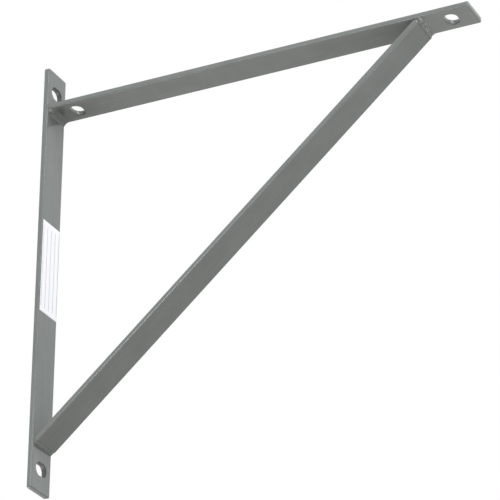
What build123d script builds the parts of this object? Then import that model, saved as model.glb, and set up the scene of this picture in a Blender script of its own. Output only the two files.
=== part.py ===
from build123d import *
import os

# Shelf bracket: three flat steel bars welded into a triangle, with a paper label on the upright bar.
# Millimetres. X points out of the wall, Y runs along the wall and Z is up.
# The origin is the middle of the upright bar's back face, halfway between its two slots.

# Flat bar, the same stock for all three bars
BAR_WIDTH = 30.0
BAR_THICKNESS = 5.0
EDGE_RADIUS = 0.8
CORNER_RADIUS = 1.5

# Cut lengths of the upright bar and the arm
LEG_LENGTH = 400.0
ARM_LENGTH = 400.0

# Piece sawn off the arm's inner end, so that it butts square on the upright bar
ARM_CROP = 5.0

# Height of the upright bar that stands above the shelf
LEG_ABOVE_ARM = 37.0

# Where the brace's outer face would meet the other bars: height above the upright bar's
# lower end, and length of arm left clear in front
BRACE_FOOT_HEIGHT = 37.0
ARM_PAST_BRACE = 41.0

# Gap left for the weld between the brace's inner corners and the other bars
ROOT_GAP = 0.3

# Bolt slots, punched across the bars, with their sharp rims broken
SLOT_WIDTH = 11.5
SLOT_TRAVEL = 5.5
SLOT_EDGE_BREAK = 0.4
SLOT_TO_BAR_END = 20.5
SLOT_TO_LEG = 22.0

# Welds: length of each bead's seat on the bar that carries it, and how far its face
# is hollow halfway between its toes
CORNER_WELD_DROP = 5.0
CORNER_WELD_REACH = 7.5
CORNER_WELD_HOLLOW = 2.1
FOOT_WELD_LEG = 6.8
FOOT_WELD_HOLLOW = 0.6
TIP_WELD_LEG = 9.0
TIP_WELD_HOLLOW = 0.9

# The beads run the full flat width of the bars and taper over a short length at both ends
WELD_TAPER = 1.8
WELD_END_SCALE = 0.75

# Paper label on the room side of the upright bar
LABEL_LENGTH = 87.0
LABEL_THICKNESS = 0.2
LABEL_CENTRE_Z = 5.5


# Planes and heights that the bars share
LEG_FACE_X = BAR_THICKNESS
LEG_TOP_Z = LEG_LENGTH / 2
LEG_BOTTOM_Z = -LEG_LENGTH / 2
ARM_TOP_Z = LEG_TOP_Z - LEG_ABOVE_ARM
ARM_UNDER_Z = ARM_TOP_Z - BAR_THICKNESS

# The brace's outer face, as a line in the XZ plane
BRACE_FOOT = Vector(LEG_FACE_X, 0, LEG_BOTTOM_Z + BRACE_FOOT_HEIGHT)
BRACE_TIP = Vector(LEG_FACE_X + ARM_LENGTH - ARM_PAST_BRACE, 0, ARM_UNDER_Z)
BRACE_RUN = (BRACE_TIP - BRACE_FOOT).normalized()
BRACE_INWARD = Vector(-BRACE_RUN.Z, 0, BRACE_RUN.X)

# Square cuts that leave the root gap at the brace's inner corners
FOOT_CUT = (ROOT_GAP + BAR_THICKNESS * BRACE_RUN.Z) / BRACE_RUN.X
TIP_CUT = (ROOT_GAP + BAR_THICKNESS * BRACE_RUN.X) / BRACE_RUN.Z
BRACE_START = BRACE_FOOT + BRACE_RUN * FOOT_CUT
BRACE_END = BRACE_TIP - BRACE_RUN * TIP_CUT


def slotted_bar(length, slots, origin, run, outward, crop=0.0):
    """A flat bar that starts at origin, goes along run and is thick towards outward.

    Slots are distances from its start to the middle of each slot. A crop is a piece that is
    sawn off square in front of the start, so that the bar butts flush on another one.
    """
    plane = Plane(origin=origin, x_dir=run, z_dir=outward)
    with BuildPart(plane) as bar:
        with BuildSketch(plane):
            with Locations(((length - crop) / 2, 0)):
                RectangleRounded(length + crop, BAR_WIDTH, CORNER_RADIUS)
        extrude(amount=BAR_THICKNESS)
        sides = bar.faces().filter_by(lambda face: abs(face.normal_at().dot(outward)) > 0.99)
        fillet(sides.edges(), radius=EDGE_RADIUS)
        if crop:
            split(bisect_by=Plane(origin=origin, z_dir=run), keep=Keep.TOP)
        for distance in slots:
            with BuildSketch(plane):
                with Locations((distance, 0)):
                    SlotCenterToCenter(SLOT_TRAVEL, SLOT_WIDTH, rotation=90)
            extrude(amount=BAR_THICKNESS, mode=Mode.SUBTRACT)
        sides = bar.faces().filter_by(lambda face: abs(face.normal_at().dot(outward)) > 0.99)
        rims = [edge for face in sides for wire in face.inner_wires() for edge in wire.edges()]
        chamfer(rims, length=SLOT_EDGE_BREAK)
    return bar.part


def brace():
    """Plain flat bar between the foot and the tip, cut square at both ends."""
    section = Plane(
        origin=BRACE_START + BRACE_INWARD * (BAR_THICKNESS / 2), x_dir=BRACE_INWARD, z_dir=BRACE_RUN
    )
    with BuildPart() as bar:
        with BuildSketch(section):
            RectangleRounded(BAR_THICKNESS, BAR_WIDTH, EDGE_RADIUS)
        extrude(amount=(BRACE_END - BRACE_START).length)
    return bar.part


def weld_section(y, root, toe_a, toe_b, hollow, scale):
    """One cross-section of a bead: two straight seats that meet at root, and a hollow curve between the toes.

    The curve's control point lies twice as far in as its hollow, and never past the root, where
    the curve would leave both seats at a tangent.
    """
    lift = Vector(0, y, 0)
    first = root + (toe_a - root) * scale
    last = root + (toe_b - root) * scale
    middle = (first + last) * 0.5
    control = middle - (middle - root).normalized() * min(2 * hollow * scale, (middle - root).length)
    outline = Wire(
        [
            Edge.make_line(root + lift, first + lift),
            Edge.make_bezier(first + lift, control + lift, last + lift),
            Edge.make_line(last + lift, root + lift),
        ]
    )
    return Face(outline)


def weld(root, toe_a, toe_b, hollow):
    """A bead across the bars that tapers at its two ends, where the arc was struck and stopped."""
    half = BAR_WIDTH / 2 - EDGE_RADIUS
    stations = [
        (-half, WELD_END_SCALE),
        (-half + WELD_TAPER, 1.0),
        (half - WELD_TAPER, 1.0),
        (half, WELD_END_SCALE),
    ]
    sections = [weld_section(y, root, toe_a, toe_b, hollow, scale) for y, scale in stations]
    return Solid.make_loft([face.outer_wire() for face in sections], ruled=True)


def corner_weld():
    """Fillet weld in the corner under the arm."""
    root = Vector(LEG_FACE_X, 0, ARM_UNDER_Z)
    on_leg = root - Vector(0, 0, CORNER_WELD_DROP)
    on_arm = root + Vector(CORNER_WELD_REACH, 0, 0)
    return weld(root, on_leg, on_arm, CORNER_WELD_HOLLOW)


def foot_weld():
    """Weld in the V between the upright bar and the brace's lower end."""
    root = BRACE_START + BRACE_INWARD * ((BRACE_START.X - LEG_FACE_X) / BRACE_RUN.Z)
    on_leg = root - Vector(0, 0, FOOT_WELD_LEG)
    return weld(root, on_leg, BRACE_START, FOOT_WELD_HOLLOW)


def tip_weld():
    """Weld in the V between the arm and the brace's upper end."""
    root = BRACE_END + BRACE_INWARD * ((ARM_UNDER_Z - BRACE_END.Z) / BRACE_RUN.X)
    on_arm = root + Vector(TIP_WELD_LEG, 0, 0)
    return weld(root, on_arm, BRACE_END, TIP_WELD_HOLLOW)


def label():
    """Paper label that covers the flat of the upright bar's room face from edge to edge."""
    width = BAR_WIDTH - 2 * EDGE_RADIUS
    sheet = Box(LABEL_THICKNESS, width, LABEL_LENGTH, align=(Align.MIN, Align.CENTER, Align.CENTER))
    return Pos(LEG_FACE_X, 0, LABEL_CENTRE_Z) * sheet


X_AXIS = Vector(1, 0, 0)
Z_AXIS = Vector(0, 0, 1)

nodes = {
    "wall_leg": slotted_bar(
        LEG_LENGTH,
        [SLOT_TO_BAR_END, LEG_LENGTH - SLOT_TO_BAR_END],
        Vector(0, 0, LEG_BOTTOM_Z),
        Z_AXIS,
        X_AXIS,
    ),
    "shelf_arm": slotted_bar(
        ARM_LENGTH,
        [SLOT_TO_LEG, ARM_LENGTH - SLOT_TO_BAR_END],
        Vector(LEG_FACE_X, 0, ARM_UNDER_Z),
        X_AXIS,
        Z_AXIS,
        crop=ARM_CROP,
    ),
    "diagonal_brace": brace(),
    "corner_weld": corner_weld(),
    "foot_weld": foot_weld(),
    "tip_weld": tip_weld(),
    "label": label(),
}

os.makedirs("parts", exist_ok=True)
for name, solid in nodes.items():
    export_step(solid, f"parts/{name}.step")
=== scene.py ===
import math

import bmesh
import bpy
from mathutils import Matrix, Vector, noise


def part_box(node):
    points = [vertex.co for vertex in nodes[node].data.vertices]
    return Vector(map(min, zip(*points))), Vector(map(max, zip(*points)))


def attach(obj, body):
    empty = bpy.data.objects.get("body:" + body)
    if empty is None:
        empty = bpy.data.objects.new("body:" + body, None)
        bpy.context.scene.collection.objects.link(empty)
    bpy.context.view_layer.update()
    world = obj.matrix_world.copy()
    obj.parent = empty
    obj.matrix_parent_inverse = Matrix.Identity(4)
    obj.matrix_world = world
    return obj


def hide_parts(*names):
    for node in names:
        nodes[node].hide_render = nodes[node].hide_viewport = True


# Wall bracket for a shelf: three flat steel bars welded into a triangle and painted gloss grey,
# with a plain ruled paper label on the upright bar. Metres. X points out of the wall and Z is up.
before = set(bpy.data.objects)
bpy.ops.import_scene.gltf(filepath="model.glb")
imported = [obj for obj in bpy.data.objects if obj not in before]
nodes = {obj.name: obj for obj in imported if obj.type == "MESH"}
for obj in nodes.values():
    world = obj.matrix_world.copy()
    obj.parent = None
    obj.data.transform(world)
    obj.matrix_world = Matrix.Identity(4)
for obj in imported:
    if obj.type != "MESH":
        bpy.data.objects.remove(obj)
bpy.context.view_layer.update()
MM = 0.001

# Camera, fitted to the photograph's frame of 500 by 500 pixels
IMAGE_SIZE = 500
FOCAL_PIXELS = 2758.3
SENSOR_MM = 36.0
CAMERA_AT = Vector((1.1085, -1.8416, -1.0404))
CAMERA_AIM = Vector((0.1978, 0.0, -0.0162))
CAMERA_ROLL_DEG = 0.315
CAMERA_CLIP = (0.05, 60.0)

# Places that the bars share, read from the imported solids
leg_low, leg_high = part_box("wall_leg")
arm_low, arm_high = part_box("shelf_arm")
label_low, label_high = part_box("label")
LEG_FACE_X = leg_high.x
ARM_UNDER_Z = arm_low.z

# Bolt slots across the bars
SLOT_WIDTH = 11.5 * MM
SLOT_TRAVEL = 5.5 * MM
SLOT_TO_BAR_END = 20.5 * MM
SLOT_TO_LEG = 22.0 * MM
LEG_SLOTS_Z = (leg_low.z + SLOT_TO_BAR_END, leg_high.z - SLOT_TO_BAR_END)
ARM_SLOTS_X = (arm_low.x + SLOT_TO_LEG, arm_high.x - SLOT_TO_BAR_END)

# The brace's outer face as a line in the XZ plane, and its square cut ends
BAR_THICKNESS = 5.0 * MM
BRACE_FOOT_HEIGHT = 37.0 * MM
ARM_PAST_BRACE = 41.0 * MM
ROOT_GAP = 0.3 * MM
BRACE_FOOT = Vector((LEG_FACE_X, 0, leg_low.z + BRACE_FOOT_HEIGHT))
BRACE_TIP = Vector((arm_high.x - ARM_PAST_BRACE, 0, ARM_UNDER_Z))
BRACE_RUN = (BRACE_TIP - BRACE_FOOT).normalized()
BRACE_INWARD = Vector((-BRACE_RUN.z, 0, BRACE_RUN.x))
BRACE_START = BRACE_FOOT + BRACE_RUN * ((ROOT_GAP + BAR_THICKNESS * BRACE_RUN.z) / BRACE_RUN.x)
BRACE_END = BRACE_TIP - BRACE_RUN * ((ROOT_GAP + BAR_THICKNESS * BRACE_RUN.x) / BRACE_RUN.z)


def linear(hex_colour):
    """An sRGB hex colour as linear red, green, blue and alpha."""
    channels = []
    for start in (1, 3, 5):
        value = int(hex_colour[start : start + 2], 16) / 255
        channels.append(value / 12.92 if value <= 0.04045 else ((value + 0.055) / 1.055) ** 2.4)
    return (*channels, 1.0)


def add(tree, kind, inputs=None, **settings):
    """Adds a node with its settings.

    Each input is a value, another node's output, or another node, which stands for its first output.
    """
    made = tree.nodes.new(kind)
    for name, value in settings.items():
        setattr(made, name, value)
    for key, value in (inputs or {}).items():
        if isinstance(value, bpy.types.Node):
            value = value.outputs[0]
        if isinstance(value, bpy.types.NodeSocket):
            tree.links.new(value, made.inputs[key])
        else:
            made.inputs[key].default_value = value
    return made


# Most of a noise texture's values lie between these, and of the sum of two between the second pair
NOISE_SPAN = (0.3, 0.7)
NOISE_SUM_SPAN = (0.7, 1.3)


def new_material(name):
    """An empty node material, its tree and its output node."""
    material = bpy.data.materials.new(name)
    material.use_nodes = True
    tree = material.node_tree
    tree.nodes.clear()
    return material, tree, add(tree, "ShaderNodeOutputMaterial")


# Gloss alkyd paint sprayed over hot rolled steel bar. The eye sees a mid grey with a faint green cast,
# clear reflections with soft edges that ripple a little with the orange peel, faint streaks along the
# bar from the mill rolls, and a slightly uneven film.
PAINT_LIGHT = "#6E7472"
PAINT_DARK = "#666C6A"
PAINT_IOR = 1.5
PAINT_ROUGHNESS = (0.15, 0.24)
PAINT_BEVEL_SAMPLES = 6
PEEL_SIZE = 2.4 * MM
PEEL_HEIGHT = 0.012 * MM
STREAK_LENGTH = 70.0 * MM
STREAK_WIDTH = 1.6 * MM
STREAK_HEIGHT = 0.004 * MM
FILM_PATCH_SIZE = 22.0 * MM
PAINT_EDGE_RADIUS = 1.3 * MM

# Rolled flat bar has slightly crowned narrow sides: how far they lean at their rims
CROWN_LEAN_DEG = 15.0

# Slots' punched walls, as a colour and a roughness. The colour is painted shade for the shade inside the
# slots: much darker than the bar on the upright bar, a little darker on the arm. The film is dull on the
# upright bar and glossy on the arm, where it catches a glint
LEG_SLOT_SHADE_AND_GLOSS = ("#4C504E", 0.5)
ARM_SLOT_SHADE_AND_GLOSS = ("#5E6361", 0.14)
SLOT_WALL_SKIN = 0.15 * MM


def gloss_paint(name, along, middle, slots=None, slot_shade_and_gloss=None):
    """Grey gloss paint on a bar that runs along a direction in the XZ plane.

    Middle is a point of the bar's core. Slots are the places of its two slots along that direction,
    and the slot wall argument holds the colour and the roughness inside them; the colour is painted shade
    for the slots.
    """
    material, tree, output = new_material(name)
    place = add(tree, "ShaderNodeTexCoord").outputs["Object"]
    turn = math.atan2(along.z, along.x)
    turned = add(
        tree, "ShaderNodeMapping", {"Vector": place, "Rotation": (0, turn, 0)}, vector_type="POINT"
    )
    stretched = add(
        tree,
        "ShaderNodeMapping",
        {"Vector": turned, "Scale": (1 / STREAK_LENGTH, 1 / STREAK_WIDTH, 1 / STREAK_WIDTH)},
    )
    streaks = add(tree, "ShaderNodeTexNoise", {"Vector": stretched, "Scale": 1.0, "Detail": 3.0})
    peel = add(tree, "ShaderNodeTexNoise", {"Vector": place, "Scale": 1 / PEEL_SIZE, "Detail": 1.5})
    film = add(
        tree, "ShaderNodeTexNoise", {"Vector": place, "Scale": 1 / FILM_PATCH_SIZE, "Detail": 4.0}
    )
    shade = add(tree, "ShaderNodeMath", {0: film, 1: streaks}, operation="ADD")
    share = add(
        tree,
        "ShaderNodeMapRange",
        {"Value": shade, "From Min": NOISE_SUM_SPAN[0], "From Max": NOISE_SUM_SPAN[1]},
    )
    colour = add(
        tree,
        "ShaderNodeMix",
        {0: share, 6: linear(PAINT_DARK), 7: linear(PAINT_LIGHT)},
        data_type="RGBA",
    )
    roughness = add(
        tree,
        "ShaderNodeMapRange",
        {
            "Value": film,
            "From Min": NOISE_SPAN[0],
            "From Max": NOISE_SPAN[1],
            "To Min": PAINT_ROUGHNESS[0],
            "To Max": PAINT_ROUGHNESS[1],
        },
    )
    axes = add(tree, "ShaderNodeSeparateXYZ", {0: turned})
    paint_colour = colour.outputs[2]
    paint_roughness = roughness.outputs[0]
    if slots:
        between = add(
            tree,
            "ShaderNodeMath",
            {0: axes.outputs["X"], 1: (slots[0] + slots[1]) / 2},
            operation="SUBTRACT",
        )
        mirrored = add(tree, "ShaderNodeMath", {0: between}, operation="ABSOLUTE")
        from_slot = add(
            tree, "ShaderNodeMath", {0: mirrored, 1: (slots[1] - slots[0]) / 2}, operation="SUBTRACT"
        )
        aside = add(tree, "ShaderNodeMath", {0: axes.outputs["Y"]}, operation="ABSOLUTE")
        past_flat = add(tree, "ShaderNodeMath", {0: aside, 1: SLOT_TRAVEL / 2}, operation="SUBTRACT")
        past_end = add(tree, "ShaderNodeMath", {0: past_flat, 1: 0.0}, operation="MAXIMUM")
        offset = add(tree, "ShaderNodeCombineXYZ", {"X": from_slot, "Y": past_end})
        reach = add(tree, "ShaderNodeVectorMath", {0: offset}, operation="LENGTH").outputs["Value"]
        wall = add(
            tree, "ShaderNodeMath", {0: reach, 1: SLOT_WIDTH / 2 + SLOT_WALL_SKIN}, operation="LESS_THAN"
        )
        # Painted shade: the slot walls take a darker colour that stands in for the shade inside the slots,
        # and their own roughness
        paint_colour = add(
            tree,
            "ShaderNodeMix",
            {0: wall, 6: paint_colour, 7: linear(slot_shade_and_gloss[0])},
            data_type="RGBA",
        ).outputs[2]
        paint_roughness = add(
            tree, "ShaderNodeMix", {0: wall, 2: paint_roughness, 3: slot_shade_and_gloss[1]}
        ).outputs[0]
    soft = add(tree, "ShaderNodeBevel", {"Radius": PAINT_EDGE_RADIUS}, samples=PAINT_BEVEL_SAMPLES)
    core = middle.z * math.cos(turn) - middle.x * math.sin(turn)
    off_core = add(tree, "ShaderNodeMath", {0: axes.outputs["Z"], 1: core}, operation="SUBTRACT")
    squared = add(tree, "ShaderNodeMath", {0: off_core, 1: off_core}, operation="MULTIPLY")
    crown_rate = math.tan(math.radians(CROWN_LEAN_DEG)) / BAR_THICKNESS
    drop = add(tree, "ShaderNodeMath", {0: squared, 1: -crown_rate}, operation="MULTIPLY")
    crowned = add(
        tree, "ShaderNodeBump", {"Height": drop, "Distance": 1.0, "Strength": 1.0, "Normal": soft}
    )
    rolled = add(
        tree,
        "ShaderNodeBump",
        {"Height": streaks, "Distance": STREAK_HEIGHT, "Strength": 1.0, "Normal": crowned},
    )
    skin = add(
        tree,
        "ShaderNodeBump",
        {"Height": peel, "Distance": PEEL_HEIGHT, "Strength": 1.0, "Normal": rolled},
    )
    shader = add(
        tree,
        "ShaderNodeBsdfPrincipled",
        {
            "Base Color": paint_colour,
            "Roughness": paint_roughness,
            "IOR": PAINT_IOR,
            "Normal": skin,
        },
    )
    tree.links.new(shader.outputs[0], output.inputs[0])
    return material


# The same paint over a weld bead. The eye sees the bead's ripples, a grainy skin with small glints,
# and a little dust that sits in the dips.
BEAD_GRIT_SIZE = 0.9 * MM
BEAD_GRIT_HEIGHT = 0.015 * MM
BEAD_DUST = "#6A706E"
BEAD_DUST_SPAN = (0.35, 0.6)
BEAD_ROUGHNESS = (0.22, 0.1)


def bead_paint(name):
    """Grey gloss paint over the rough skin of a weld."""
    material, tree, output = new_material(name)
    place = add(tree, "ShaderNodeTexCoord").outputs["Object"]
    grit = add(tree, "ShaderNodeTexNoise", {"Vector": place, "Scale": 1 / BEAD_GRIT_SIZE, "Detail": 3.0})
    dust = add(
        tree,
        "ShaderNodeMapRange",
        {"Value": grit, "From Min": BEAD_DUST_SPAN[0], "From Max": BEAD_DUST_SPAN[1]},
    )
    colour = add(
        tree,
        "ShaderNodeMix",
        {0: dust, 6: linear(BEAD_DUST), 7: linear(PAINT_LIGHT)},
        data_type="RGBA",
    )
    roughness = add(
        tree,
        "ShaderNodeMapRange",
        {
            "Value": grit,
            "From Min": NOISE_SPAN[0],
            "From Max": NOISE_SPAN[1],
            "To Min": BEAD_ROUGHNESS[0],
            "To Max": BEAD_ROUGHNESS[1],
        },
    )
    skin = add(tree, "ShaderNodeBump", {"Height": grit, "Distance": BEAD_GRIT_HEIGHT, "Strength": 1.0})
    shader = add(
        tree,
        "ShaderNodeBsdfPrincipled",
        {
            "Base Color": colour.outputs[2],
            "Roughness": roughness,
            "IOR": PAINT_IOR,
            "Normal": skin,
        },
    )
    tree.links.new(shader.outputs[0], output.inputs[0])
    return material


# Uncoated white label paper. The eye sees a cool white with faint fibres and a dry, matt face,
# and thin printed rules that leave room to write.
PAPER_WHITE = "#EBEDF2"
PAPER_FIBRE = "#E6E8ED"
RULE_GREY = "#8C8F93"
PAPER_FIBRE_SIZE = 0.5 * MM
PAPER_FIBRE_HEIGHT = 0.01 * MM
PAPER_ROUGHNESS = 0.7
PAPER_IOR = 1.45
RULE_PITCH = 6.5 * MM
RULE_WIDTH = 0.5 * MM
RULE_MARGIN = 5.0 * MM


def label_paper(name):
    """White paper with fine rules along its length."""
    material, tree, output = new_material(name)
    place = add(tree, "ShaderNodeTexCoord").outputs["Object"]
    fibre = add(
        tree, "ShaderNodeTexNoise", {"Vector": place, "Scale": 1 / PAPER_FIBRE_SIZE, "Detail": 4.0}
    )
    paper = add(
        tree,
        "ShaderNodeMix",
        {0: fibre, 6: linear(PAPER_FIBRE), 7: linear(PAPER_WHITE)},
        data_type="RGBA",
    )
    axes = add(tree, "ShaderNodeSeparateXYZ", {0: place})
    step = add(
        tree, "ShaderNodeMath", {0: axes.outputs["Y"], 1: 1 / RULE_PITCH}, operation="MULTIPLY"
    )
    within = add(tree, "ShaderNodeMath", {0: step}, operation="FRACT")
    rule = add(tree, "ShaderNodeMath", {0: within, 1: RULE_WIDTH / RULE_PITCH}, operation="LESS_THAN")
    middle = (label_low.z + label_high.z) / 2
    half = (label_high.z - label_low.z) / 2
    from_middle = add(tree, "ShaderNodeMath", {0: axes.outputs["Z"], 1: middle}, operation="SUBTRACT")
    away = add(tree, "ShaderNodeMath", {0: from_middle}, operation="ABSOLUTE")
    inside = add(tree, "ShaderNodeMath", {0: away, 1: half - RULE_MARGIN}, operation="LESS_THAN")
    printed = add(tree, "ShaderNodeMath", {0: rule, 1: inside}, operation="MULTIPLY")
    colour = add(
        tree,
        "ShaderNodeMix",
        {0: printed, 6: paper.outputs[2], 7: linear(RULE_GREY)},
        data_type="RGBA",
    )
    skin = add(tree, "ShaderNodeBump", {"Height": fibre, "Distance": PAPER_FIBRE_HEIGHT, "Strength": 1.0})
    shader = add(
        tree,
        "ShaderNodeBsdfPrincipled",
        {
            "Base Color": colour.outputs[2],
            "Roughness": PAPER_ROUGHNESS,
            "IOR": PAPER_IOR,
            "Normal": skin,
        },
    )
    tree.links.new(shader.outputs[0], output.inputs[0])
    return material


# Painted bars: the imported solids already have the bars' shape
# Each bar: its direction, the places of its slots, and the painted shade colour and the roughness of its
# slot walls
BARS = {
    "wall_leg": (Vector((0, 0, 1)), LEG_SLOTS_Z, LEG_SLOT_SHADE_AND_GLOSS),
    "shelf_arm": (Vector((1, 0, 0)), ARM_SLOTS_X, ARM_SLOT_SHADE_AND_GLOSS),
    "diagonal_brace": (BRACE_RUN, None, None),
}
for bar_name, (bar_run, bar_slots, bar_slot_shade_and_gloss) in BARS.items():
    bar = nodes[bar_name]
    bar_low, bar_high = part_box(bar_name)
    bar.data.materials.clear()
    bar_middle = (bar_low + bar_high) / 2
    bar_paint = gloss_paint("gloss_grey_paint_" + bar_name, bar_run, bar_middle, bar_slots, bar_slot_shade_and_gloss)
    bar.data.materials.append(bar_paint)


# Weld beads. Each is a cross-section with a hollow or straight face, swept along Y and scaled about
# the corner that it fills, so its two seats stay on the bars while its face swells and dips.
BEAD_OVERRUN = 0.5 * MM
BEAD_SINK = 0.15 * MM
BEAD_NEAR_ROUND = 2.5 * MM
BEAD_FAR_ROUND = 0.9 * MM
BEAD_STEPS = 180
BEAD_ARC_POINTS = 17
BEAD_RIPPLE_PITCH = 2.8 * MM
BEAD_RIPPLE_HEIGHT = 0.45 * MM
BEAD_BOW = 1.6 * MM
BEAD_LUMP_SIZE = 4.5 * MM
BEAD_UNEVEN_SHARE = 0.3
BEAD_UNEVEN_SIZE = 6.0 * MM
RIPPLE_DISTORTION = 0.6
BLOB_SEGMENTS = 40
BLOB_RINGS = 24

# Noise value at which a lump neither rises nor dips
LUMP_LEVEL = 0.4

# Points of a bead that lie closer than this become one
BEAD_MERGE = 0.02 * MM

# A round end keeps a trace of its section at its very tip, so that the cap there is still a face
DOME_TOP = 1.001

# A wave texture of scale 1 has this length
WAVE_LENGTH = math.pi / 10


def bead_tree():
    """Geometry nodes that sweep a profile along the bead, ripple its face and join its start blob to it."""
    tree = bpy.data.node_groups.new("rippled_weld_bead", "GeometryNodeTree")
    inputs = {
        "Profile": "NodeSocketGeometry",
        "Bead Length": "NodeSocketFloat",
        "Ripple Pitch": "NodeSocketFloat",
        "Ripple Height": "NodeSocketFloat",
        "Bow": "NodeSocketFloat",
        "Lump Size": "NodeSocketFloat",
        "Lump Height": "NodeSocketFloat",
        "Uneven Share": "NodeSocketFloat",
        "Uneven Size": "NodeSocketFloat",
        "Near Size": "NodeSocketFloat",
        "Far Size": "NodeSocketFloat",
        "Near Round": "NodeSocketFloat",
        "Far Round": "NodeSocketFloat",
        "Blob Size": "NodeSocketFloat",
        "Blob Place": "NodeSocketVector",
        "Seed": "NodeSocketFloat",
        "Root": "NodeSocketVector",
        "Paint": "NodeSocketMaterial",
    }
    for name, kind in inputs.items():
        tree.interface.new_socket(name, in_out="INPUT", socket_type=kind)
    tree.interface.new_socket("Bead", in_out="OUTPUT", socket_type="NodeSocketGeometry")
    given = add(tree, "NodeGroupInput").outputs
    place = add(tree, "GeometryNodeInputPosition")

    # Path along Z, which is turned to Y at the end
    half = add(tree, "ShaderNodeMath", {0: given["Bead Length"], 1: 0.5}, operation="MULTIPLY")
    below = add(tree, "ShaderNodeMath", {0: half, 1: -1.0}, operation="MULTIPLY")
    low = add(tree, "ShaderNodeCombineXYZ", {"Z": below})
    high = add(tree, "ShaderNodeCombineXYZ", {"Z": half})
    line = add(tree, "GeometryNodeCurvePrimitiveLine", {"Start": low, "End": high})
    path = add(tree, "GeometryNodeResampleCurve", {"Curve": line, "Count": BEAD_STEPS})

    # The bead's size along the path, from the far end to the near one, where the arc was struck
    run = add(tree, "GeometryNodeSplineParameter")
    grown = add(
        tree,
        "ShaderNodeMapRange",
        {"Value": run, "To Min": given["Far Size"], "To Max": given["Near Size"]},
        interpolation_type="SMOOTHSTEP",
    )
    turns = add(tree, "ShaderNodeMath", {0: 1.0, 1: given["Uneven Size"]}, operation="DIVIDE")
    wander = add(
        tree,
        "ShaderNodeTexNoise",
        {"Vector": place, "W": given["Seed"], "Scale": turns, "Detail": 1.0},
        noise_dimensions="4D",
    )
    centred = add(tree, "ShaderNodeMath", {0: wander, 1: 0.5}, operation="SUBTRACT")
    share = add(
        tree,
        "ShaderNodeMath",
        {0: centred, 1: given["Uneven Share"], 2: 1.0},
        operation="MULTIPLY_ADD",
    )
    size = add(tree, "ShaderNodeMath", {0: grown, 1: share}, operation="MULTIPLY")

    # Round ends
    spot = add(tree, "ShaderNodeSeparateXYZ", {0: place})
    near = add(tree, "ShaderNodeMath", {0: half, 1: given["Near Round"]}, operation="SUBTRACT")
    near_past = add(
        tree, "ShaderNodeMapRange", {"Value": spot.outputs["Z"], "From Min": near, "From Max": half}
    )
    far = add(tree, "ShaderNodeMath", {0: below, 1: given["Far Round"]}, operation="ADD")
    far_past = add(
        tree, "ShaderNodeMapRange", {"Value": spot.outputs["Z"], "From Min": far, "From Max": below}
    )
    past = add(tree, "ShaderNodeMath", {0: near_past, 1: far_past}, operation="MAXIMUM")
    fall = add(tree, "ShaderNodeMath", {0: past, 1: past}, operation="MULTIPLY")
    left = add(tree, "ShaderNodeMath", {0: DOME_TOP, 1: fall}, operation="SUBTRACT")
    dome = add(tree, "ShaderNodeMath", {0: left}, operation="SQRT")
    domed = add(tree, "ShaderNodeMath", {0: size, 1: dome}, operation="MULTIPLY")
    profile = add(tree, "GeometryNodeMeshToCurve", {"Mesh": given["Profile"]})
    sweep = add(
        tree,
        "GeometryNodeCurveToMesh",
        {"Curve": path, "Profile Curve": profile, "Scale": domed, "Fill Caps": True},
    )

    # Ripples that bow away from the start, on top of larger lumps; both fade out at the toes
    across = add(tree, "GeometryNodeInputNamedAttribute", {"Name": "across"}, data_type="FLOAT")
    rise = add(tree, "GeometryNodeInputNamedAttribute", {"Name": "rise"}, data_type="FLOAT")
    square = add(tree, "ShaderNodeMath", {0: across, 1: across}, operation="MULTIPLY")
    bowed = add(
        tree,
        "ShaderNodeMath",
        {0: square, 1: given["Bow"], 2: spot.outputs["Z"]},
        operation="MULTIPLY_ADD",
    )
    along = add(tree, "ShaderNodeCombineXYZ", {"Z": bowed})
    pace = add(tree, "ShaderNodeMath", {0: WAVE_LENGTH, 1: given["Ripple Pitch"]}, operation="DIVIDE")
    waves = add(
        tree,
        "ShaderNodeTexWave",
        {
            "Vector": along,
            "Scale": pace,
            "Distortion": RIPPLE_DISTORTION,
            "Phase Offset": given["Seed"],
        },
        bands_direction="Z",
    )
    grain = add(tree, "ShaderNodeMath", {0: 1.0, 1: given["Lump Size"]}, operation="DIVIDE")
    lumps = add(
        tree,
        "ShaderNodeTexNoise",
        {"Vector": place, "W": given["Seed"], "Scale": grain, "Detail": 1.0},
        noise_dimensions="4D",
    )
    lifted = add(tree, "ShaderNodeMath", {0: lumps, 1: LUMP_LEVEL}, operation="SUBTRACT")
    lump = add(tree, "ShaderNodeMath", {0: lifted, 1: given["Lump Height"]}, operation="MULTIPLY")
    face = add(
        tree,
        "ShaderNodeMath",
        {0: waves.outputs["Fac"], 1: given["Ripple Height"], 2: lump},
        operation="MULTIPLY_ADD",
    )
    lift = add(tree, "ShaderNodeMath", {0: face, 1: rise}, operation="MULTIPLY")
    outward = add(
        tree,
        "ShaderNodeVectorMath",
        {0: add(tree, "GeometryNodeInputNormal"), "Scale": lift},
        operation="SCALE",
    )
    rippled = add(tree, "GeometryNodeSetPosition", {"Geometry": sweep, "Offset": outward})

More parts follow.
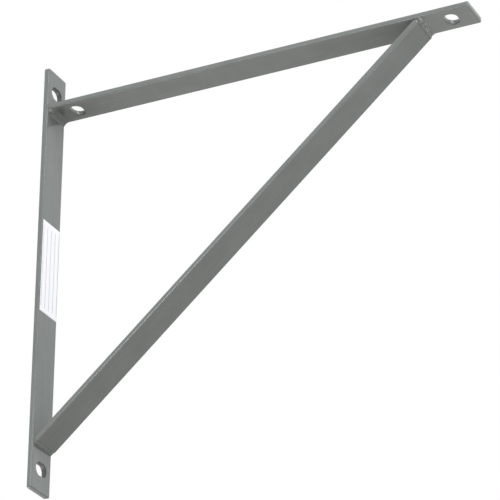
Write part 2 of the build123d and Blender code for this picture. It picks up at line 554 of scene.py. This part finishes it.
    # The blob where the arc was struck, a lumpy ball that is half sunk in the near end
    ball = add(
        tree,
        "GeometryNodeMeshUVSphere",
        {"Segments": BLOB_SEGMENTS, "Rings": BLOB_RINGS, "Radius": given["Blob Size"]},
    )
    bulge = add(tree, "ShaderNodeMath", {0: lifted, 1: given["Blob Size"]}, operation="MULTIPLY")
    bulged = add(
        tree,
        "ShaderNodeVectorMath",
        {0: add(tree, "GeometryNodeInputNormal"), "Scale": bulge},
        operation="SCALE",
    )
    lumpy = add(tree, "GeometryNodeSetPosition", {"Geometry": ball.outputs["Mesh"], "Offset": bulged})
    blob = add(
        tree, "GeometryNodeTransform", {"Geometry": lumpy, "Translation": given["Blob Place"]}
    )
    whole = add(tree, "GeometryNodeMeshBoolean", {"Mesh 2": rippled}, operation="UNION", solver="EXACT")
    tree.links.new(blob.outputs[0], whole.inputs["Mesh 2"])
    placed = add(
        tree,
        "GeometryNodeTransform",
        {"Geometry": whole, "Translation": given["Root"], "Rotation": (math.pi / 2, 0, 0)},
    )
    smooth = add(tree, "GeometryNodeSetShadeSmooth", {0: placed})
    real = add(tree, "GeometryNodeRealizeInstances", {0: smooth})
    painted = add(tree, "GeometryNodeSetMaterial", {"Geometry": real, "Material": given["Paint"]})
    add(tree, "NodeGroupOutput", {0: painted})
    return tree


def profile_mesh(name, toe_a, toe_b, hollow):
    """Closed outline of a bead about its root: two straight seats, and a face between the toes.

    The seats are sunk a little into the bars, so that no face lies in a bar's own face.
    """
    sink_a = (toe_b.project(toe_a) - toe_b).normalized() * BEAD_SINK
    sink_b = (toe_a.project(toe_b) - toe_a).normalized() * BEAD_SINK
    inward = (toe_a + toe_b).normalized() * -hollow
    points = [(sink_a + sink_b, 0.0, 0.0)]
    for index in range(BEAD_ARC_POINTS):
        across = 2 * index / (BEAD_ARC_POINTS - 1) - 1
        rise = 1 - across * across
        straight = (toe_a + sink_a).lerp(toe_b + sink_b, (across + 1) / 2)
        points.append((straight + inward * rise, across, rise))
    mesh = bpy.data.meshes.new(name)
    corners = [(point.x, point.y, 0) for point, across, rise in points]
    edges = [(index, (index + 1) % len(points)) for index in range(len(points))]
    mesh.from_pydata(corners, edges, [])
    for attribute, slot in (("across", 1), ("rise", 2)):
        layer = mesh.attributes.new(attribute, "FLOAT", "POINT")
        layer.data.foreach_set("value", [point[slot] for point in points])
    return mesh


def make_bead(node, root, toe_a, toe_b, hollow, sizes, lumps, blob_size, blob_at, seed):
    """A rippled bead in place of a weld's plain solid; root and toes lie in the XZ plane.

    Sizes are its shares of the full section at the far and the near end. Blob at is the place of
    the start blob in the XZ plane, from the root.
    """
    flat = [Vector((toe.x - root.x, toe.z - root.z)) for toe in (toe_a, toe_b)]
    bead = bpy.data.objects.new(node + "_bead", profile_mesh(node + "_bead", flat[0], flat[1], hollow))
    bpy.context.scene.collection.objects.link(bead)
    low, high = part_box(node)
    values = {
        "Bead Length": high.y - low.y + 2 * BEAD_OVERRUN,
        "Ripple Pitch": BEAD_RIPPLE_PITCH,
        "Ripple Height": BEAD_RIPPLE_HEIGHT,
        "Bow": BEAD_BOW,
        "Lump Size": BEAD_LUMP_SIZE,
        "Lump Height": lumps,
        "Uneven Share": BEAD_UNEVEN_SHARE,
        "Uneven Size": BEAD_UNEVEN_SIZE,
        "Near Size": sizes[1],
        "Far Size": sizes[0],
        "Near Round": BEAD_NEAR_ROUND,
        "Far Round": BEAD_FAR_ROUND,
        "Blob Size": blob_size,
        "Blob Place": (blob_at[0], blob_at[1], (high.y - low.y) / 2 + BEAD_OVERRUN - blob_size),
        "Seed": seed,
        "Root": tuple(root),
        "Paint": weld_paint,
    }
    modifier = bead.modifiers.new("ripples", "NODES")
    modifier.node_group = ripples
    for item in ripples.interface.items_tree:
        if item.in_out == "INPUT" and item.name in values:
            modifier[item.identifier] = values[item.name]
    bpy.context.view_layer.update()
    depsgraph = bpy.context.evaluated_depsgraph_get()
    made = bpy.data.meshes.new_from_object(bead.evaluated_get(depsgraph))
    bead.modifiers.clear()
    bead.data = made
    tidy = bmesh.new()
    tidy.from_mesh(made)
    bmesh.ops.remove_doubles(tidy, verts=tidy.verts, dist=BEAD_MERGE)
    bmesh.ops.recalc_face_normals(tidy, faces=tidy.faces)
    tidy.to_mesh(made)
    tidy.free()
    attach(bead, "root")
    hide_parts(node)


CORNER_BEAD_DROP = 5.0 * MM
CORNER_BEAD_REACH = 7.5 * MM
CORNER_BEAD_HOLLOW = 2.1 * MM
FOOT_BEAD_LEG = 6.8 * MM
FOOT_BEAD_HOLLOW = 0.0 * MM
TIP_BEAD_LEG = 9.0 * MM
TIP_BEAD_HOLLOW = 0.9 * MM
CORNER_ROOT = Vector((LEG_FACE_X, 0, ARM_UNDER_Z))
FOOT_ROOT = BRACE_START + BRACE_INWARD * ((BRACE_START.x - LEG_FACE_X) / BRACE_RUN.z)
TIP_ROOT = BRACE_END + BRACE_INWARD * ((ARM_UNDER_Z - BRACE_END.z) / BRACE_RUN.x)

ripples = bead_tree()
weld_paint = bead_paint("gloss_grey_paint_on_weld")
make_bead(
    "corner_weld",
    root=CORNER_ROOT,
    toe_a=CORNER_ROOT - Vector((0, 0, CORNER_BEAD_DROP)),
    toe_b=CORNER_ROOT + Vector((CORNER_BEAD_REACH, 0, 0)),
    hollow=CORNER_BEAD_HOLLOW,
    sizes=(0.9, 1.1),
    lumps=1.2 * MM,
    blob_size=2.4 * MM,
    blob_at=(1.0 * MM, -1.2 * MM),
    seed=1.7,
)
make_bead(
    "foot_weld",
    root=FOOT_ROOT,
    toe_a=FOOT_ROOT - Vector((0, 0, FOOT_BEAD_LEG)),
    toe_b=BRACE_START,
    hollow=FOOT_BEAD_HOLLOW,
    sizes=(0.94, 1.0),
    lumps=1.4 * MM,
    blob_size=2.2 * MM,
    blob_at=(1.8 * MM, -3.2 * MM),
    seed=5.3,
)
make_bead(
    "tip_weld",
    root=TIP_ROOT,
    toe_a=TIP_ROOT + Vector((TIP_BEAD_LEG, 0, 0)),
    toe_b=BRACE_END,
    hollow=TIP_BEAD_HOLLOW,
    sizes=(1.2, 1.05),
    lumps=2.6 * MM,
    blob_size=2.4 * MM,
    blob_at=(5.5 * MM, -0.6 * MM),
    seed=9.1,
)


# Label: a sheet that follows the bar's face, with the slight swells of paper stuck on by hand
LABEL_CELL = 1.0 * MM
LABEL_SWELL = 0.05 * MM
LABEL_SWELL_SIZE = 14.0 * MM
LABEL_SWELL_SEED = 0.3
LABEL_PAPER_THICKNESS = 0.12 * MM


def make_label():
    """Paper sheet in place of the label's plain solid."""
    sheet = bmesh.new()
    columns = round((label_high.y - label_low.y) / LABEL_CELL)
    rows = round((label_high.z - label_low.z) / LABEL_CELL)
    grid = []
    for row in range(rows + 1):
        z = label_low.z + (label_high.z - label_low.z) * row / rows
        line = []
        for column in range(columns + 1):
            y = label_low.y + (label_high.y - label_low.y) * column / columns
            swell = noise.noise(Vector((LABEL_SWELL_SEED, y / LABEL_SWELL_SIZE, z / LABEL_SWELL_SIZE)))
            x = LEG_FACE_X + LABEL_PAPER_THICKNESS + LABEL_SWELL * max(0.0, swell)
            line.append(sheet.verts.new((x, y, z)))
        grid.append(line)
    for row in range(rows):
        for column in range(columns):
            sheet.faces.new(
                (
                    grid[row][column],
                    grid[row][column + 1],
                    grid[row + 1][column + 1],
                    grid[row + 1][column],
                )
            )
    mesh = bpy.data.meshes.new("paper_label")
    sheet.to_mesh(mesh)
    sheet.free()
    for face in mesh.polygons:
        face.use_smooth = True
    label = bpy.data.objects.new("paper_label", mesh)
    bpy.context.scene.collection.objects.link(label)
    mesh.materials.append(label_paper("white_label_paper"))
    thick = label.modifiers.new("paper", "SOLIDIFY")
    thick.thickness = LABEL_PAPER_THICKNESS
    thick.offset = -1.0
    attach(label, "root")
    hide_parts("label")


make_label()


# Floor, well below the bracket as it hangs on a wall: the camera looks up from under the arm
FLOOR_Z = -1.6
FLOOR_HALF = 9.0
FLOOR_GREY = "#C7C1BF"
FLOOR_SPECK = "#C3BDBB"
FLOOR_SPECKS_PER_METRE = 3.0
FLOOR_ROUGHNESS = 0.9
floor_mesh = bpy.data.meshes.new("floor")
floor_mesh.from_pydata(
    [
        (-FLOOR_HALF, -FLOOR_HALF, FLOOR_Z),
        (FLOOR_HALF, -FLOOR_HALF, FLOOR_Z),
        (FLOOR_HALF, FLOOR_HALF, FLOOR_Z),
        (-FLOOR_HALF, FLOOR_HALF, FLOOR_Z),
    ],
    [],
    [(0, 1, 2, 3)],
)
floor = bpy.data.objects.new("floor", floor_mesh)
bpy.context.scene.collection.objects.link(floor)
floor_material, floor_tree, floor_output = new_material("pale_studio_floor")
floor_place = add(floor_tree, "ShaderNodeTexCoord").outputs["Object"]
floor_noise = add(
    floor_tree,
    "ShaderNodeTexNoise",
    {"Vector": floor_place, "Scale": FLOOR_SPECKS_PER_METRE, "Detail": 3.0},
)
floor_colour = add(
    floor_tree,
    "ShaderNodeMix",
    {0: floor_noise, 6: linear(FLOOR_SPECK), 7: linear(FLOOR_GREY)},
    data_type="RGBA",
)
floor_shader = add(
    floor_tree,
    "ShaderNodeBsdfPrincipled",
    {"Base Color": floor_colour.outputs[2], "Roughness": FLOOR_ROUGHNESS},
)
floor_tree.links.new(floor_shader.outputs[0], floor_output.inputs[0])
floor_mesh.materials.append(floor_material)

# World: a plain white room, which the gloss paint mirrors
world = bpy.data.worlds.new("studio")
world.use_nodes = True
world_tree = world.node_tree
world_tree.nodes.clear()
room = add(world_tree, "ShaderNodeBackground", {"Color": (1, 1, 1, 1), "Strength": 1.0})
add(world_tree, "ShaderNodeOutputWorld", {0: room})
bpy.context.scene.world = world


def soft_lamp(name, at, aim, size, watts):
    """A square soft box that points at the bracket."""
    lamp = bpy.data.lights.new(name, "AREA")
    lamp.size = size
    lamp.energy = watts
    box = bpy.data.objects.new(name, lamp)
    box.location = at
    box.rotation_euler = (Vector(aim) - Vector(at)).to_track_quat("-Z", "Y").to_euler()
    box.visible_camera = False
    bpy.context.scene.collection.objects.link(box)


soft_lamp("high_soft_box", at=(1.6, -1.0, 1.6), aim=(0.2, 0.0, 0.0), size=1.0, watts=21.0)
soft_lamp("side_soft_box", at=(1.14, -1.71, 0.83), aim=(0.1, 0.0, -0.05), size=0.8, watts=10.0)
soft_lamp("small_edge_box", at=(-0.5, -2.2, 0.5), aim=(0.0, 0.0, -0.1), size=0.35, watts=3.6)
soft_lamp("arm_end_soft_box", at=(0.7, 0.0, -0.1), aim=(0.36, 0.0, 0.13), size=0.3, watts=0.72)
soft_lamp("under_soft_box", at=(-1.0, 0.0, -1.15), aim=(0.2, 0.0, 0.16), size=1.2, watts=22.0)

camera_data = bpy.data.cameras.new("camera")
camera_data.sensor_width = SENSOR_MM
camera_data.lens = FOCAL_PIXELS / IMAGE_SIZE * SENSOR_MM
camera_data.clip_start = CAMERA_CLIP[0]
camera_data.clip_end = CAMERA_CLIP[1]
camera = bpy.data.objects.new("camera", camera_data)
turned = (CAMERA_AIM - CAMERA_AT).to_track_quat("-Z", "Y").to_matrix().to_4x4()
camera.matrix_world = (
    Matrix.Translation(CAMERA_AT) @ turned @ Matrix.Rotation(math.radians(CAMERA_ROLL_DEG), 4, "Z")
)
bpy.context.scene.collection.objects.link(camera)
bpy.context.scene.camera = camera

bpy.context.scene.view_settings.view_transform = "Standard"
